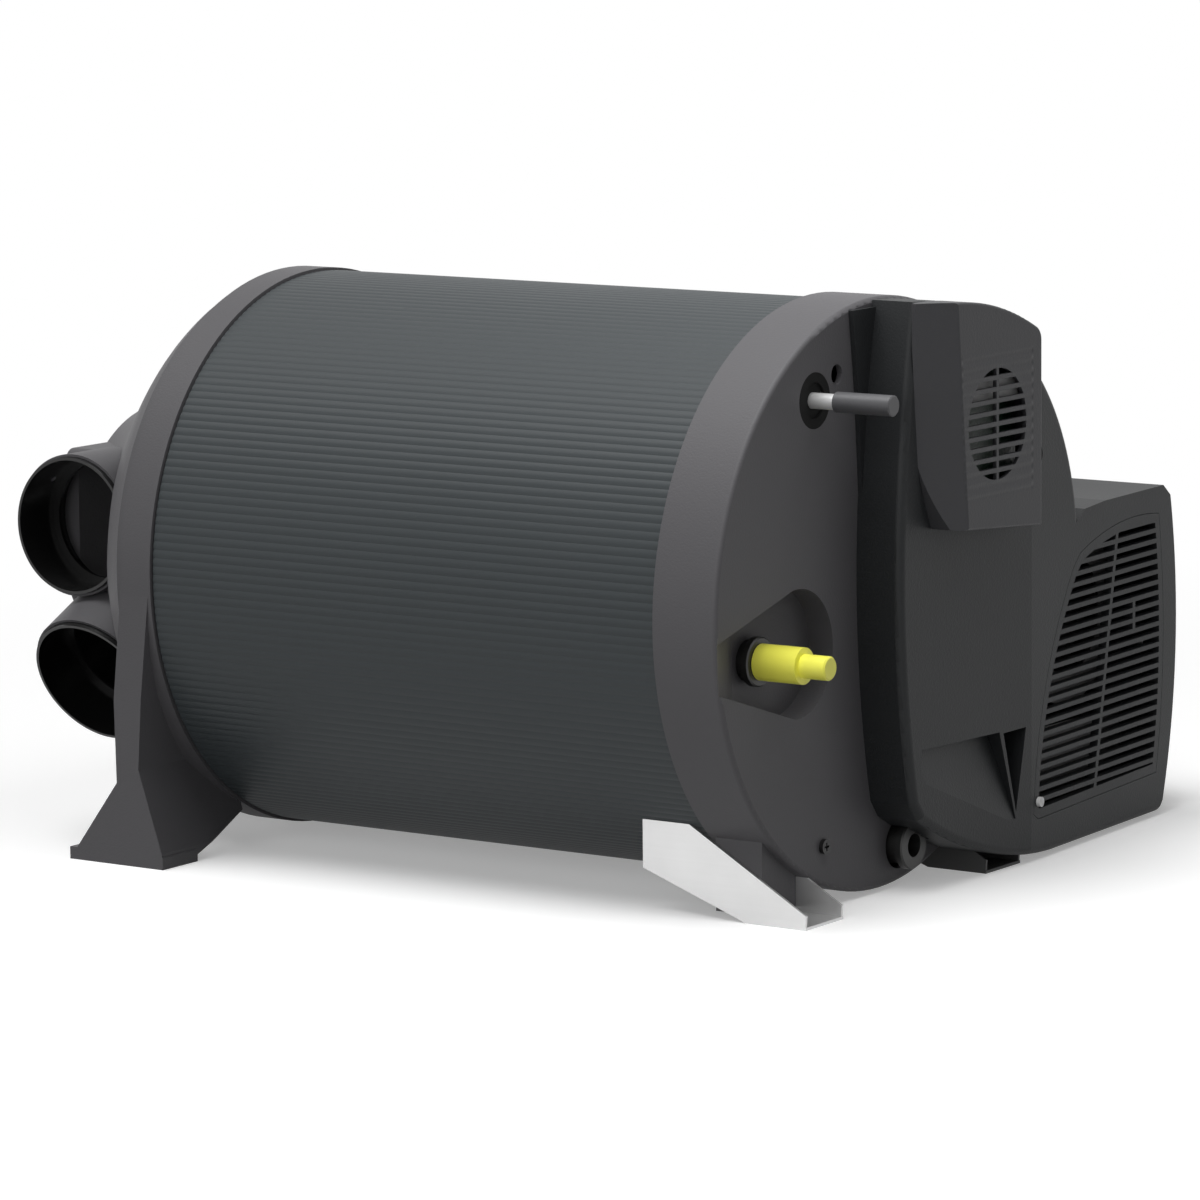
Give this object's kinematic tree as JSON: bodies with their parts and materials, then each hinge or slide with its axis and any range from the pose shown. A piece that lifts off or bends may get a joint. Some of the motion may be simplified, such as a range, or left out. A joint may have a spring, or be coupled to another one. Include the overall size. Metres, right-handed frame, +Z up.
{
  "type": "caravan air and water heater",
  "caption": "Drum-shaped air and water heater with duct outlets at one end, a burner housing with an intake grille at the other, and legs and brackets under it.",
  "frame": {"origin": "on the floor, under the drum's axis, in the plane of the burner cover's face", "axes": "+X along the drum towards the burner end, -Y towards the side with the gas and water connections, +Z up"},
  "size_m": [0.513, 0.452, 0.3],
  "materials": {
    "jacket_grey": "satin, ribbed, dark blue-grey",
    "cover_grey": "fine-grained grey moulding",
    "housing_grey": "fine-grained dark grey moulding",
    "outlet_black": "glossy black moulding",
    "bare_sheet": "bare galvanised sheet",
    "stainless": "stainless sheet",
    "cast_aluminium": "as cast",
    "foam": "grey foam",
    "soft_rubber": "matt black rubber",
    "plug_yellow": "bright yellow moulding",
    "fitting_black": "black moulding",
    "fan_grey": "grey moulding",
    "motor_metal": "zinc-plated",
    "board_green": "lacquered circuit board",
    "terminal_grey": "pale grey moulding",
    "cap_grey": "mid grey sleeve",
    "screw_zinc": "zinc-plated",
    "dark_screw": "blackened",
    "sensor_white": "white bead",
    "brass": "plain brass"
  },
  "bodies": {
    "heater": {"air_manifold": "cover_grey", "board_carrier": "fan_grey", "bracket_screws": "screw_zinc", "burner_end_cover": "cover_grey", "burner_end_plate": "bare_sheet", "burner_flange": "cast_aluminium", "burner_gas_pipe": "stainless", "burner_housing": "housing_grey", "burner_tube": "stainless", "cable_grommet": "soft_rubber", "circulation_fan_housing": "fan_grey", "circulation_fan_motor": "motor_metal", "cold_water_connector": "fitting_black", "combustion_air_collar": "fitting_black", "combustion_air_duct": "fitting_black", "combustion_fan_housing": "fan_grey", "combustion_fan_motor": "motor_metal", "control_board": "board_green", "cover_screws": "dark_screw", "electronics_cover": "housing_grey", "exhaust_duct": "stainless", "exhaust_seal_ring": "soft_rubber", "exhaust_spigot": "stainless", "fan_box": "housing_grey", "flue_box": "fitting_black", "front_foot_bracket": "bare_sheet", "gas_pipe": "stainless", "gas_pipe_grommet": "soft_rubber", "gas_valve": "cast_aluminium", "heat_exchanger": "cast_aluminium", "hot_water_connector": "fitting_black", "housing_screws": "dark_screw", "ignition_electrodes": "terminal_grey", "insulation_lower": "foam", "insulation_upper": "foam", "intake_grille": "housing_grey", "intake_temperature_sensor": "sensor_white", "outer_jacket": "jacket_grey", "outlet_cover_screws": "screw_zinc", "outlet_end_cover": "cover_grey", "outlet_end_plate": "bare_sheet", "outlet_screws": "screw_zinc", "overheat_switch": "fitting_black", "rear_foot_bracket": "bare_sheet", "tank_end_rings": "stainless", "tank_inner_shell": "stainless", "tank_outer_shell": "stainless", "tank_spacers": "soft_rubber", "terminal_blocks": "terminal_grey", "warm_air_outlet_front_lower": "outlet_black", "warm_air_outlet_front_upper": "outlet_black", "warm_air_outlet_rear_lower": "outlet_black", "warm_air_outlet_rear_upper": "outlet_black", "water_temperature_probe": "brass"},
    "circulation_fan": {"circulation_fan_impeller": "fan_grey"},
    "combustion_fan": {"combustion_fan_impeller": "fan_grey"},
    "plug": {"transport_plug": "plug_yellow", "plug_o_ring": "soft_rubber"},
    "gas_cap": {"gas_pipe_cap": "cap_grey"}
  },
  "joints": [
    {"name": "circulation_fan_spin", "type": "hinge", "parent": "heater", "child": "circulation_fan", "pos_m": [-0.02, 0.203, 0.114], "axis": [1, 0, 0], "continuous": true},
    {"name": "combustion_fan_spin", "type": "hinge", "parent": "heater", "child": "combustion_fan", "pos_m": [0, 0.042, 0.14], "axis": [1, 0, 0], "continuous": true},
    {"name": "transport_plug_pull", "type": "slide", "parent": "heater", "child": "plug", "axis": [1, 0, 0], "range_m": [0, 0.03]},
    {"name": "gas_cap_pull", "type": "slide", "parent": "heater", "child": "gas_cap", "axis": [1, 0, 0], "range_m": [0, 0.022]}
  ]
}
